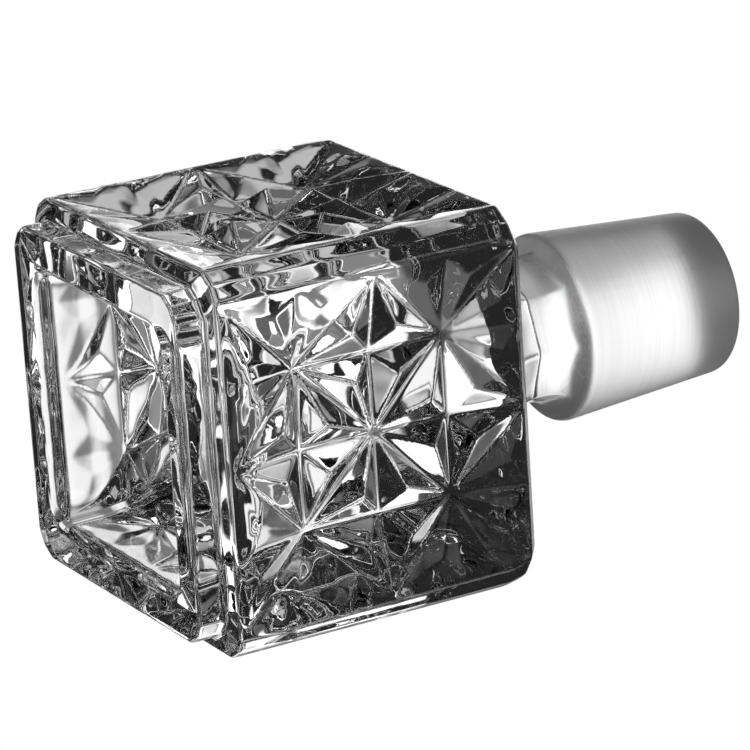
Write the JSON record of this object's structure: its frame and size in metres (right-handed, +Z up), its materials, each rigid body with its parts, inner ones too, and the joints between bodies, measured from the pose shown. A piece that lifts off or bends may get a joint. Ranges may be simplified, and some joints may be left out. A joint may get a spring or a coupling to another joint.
{
  "type": "glass bottle stopper",
  "caption": "Square glass stopper with star-relief sides, an open hollow head, a faceted neck and a tapered ground plug for closing a bottle.",
  "frame": {"origin": "Middle of the resting side's bounding box, at floor level", "axes": "+X along the axis of the plug, from the open end of the head to the plug's tip; +Z up from the side of the head that it rests on; +Y across"},
  "size_m": [0.0804, 0.045, 0.045],
  "materials": {
    "glass": "clear, with a matt ground plug"
  },
  "bodies": {
    "root": {"stopper": "glass"}
  },
  "joints": []
}
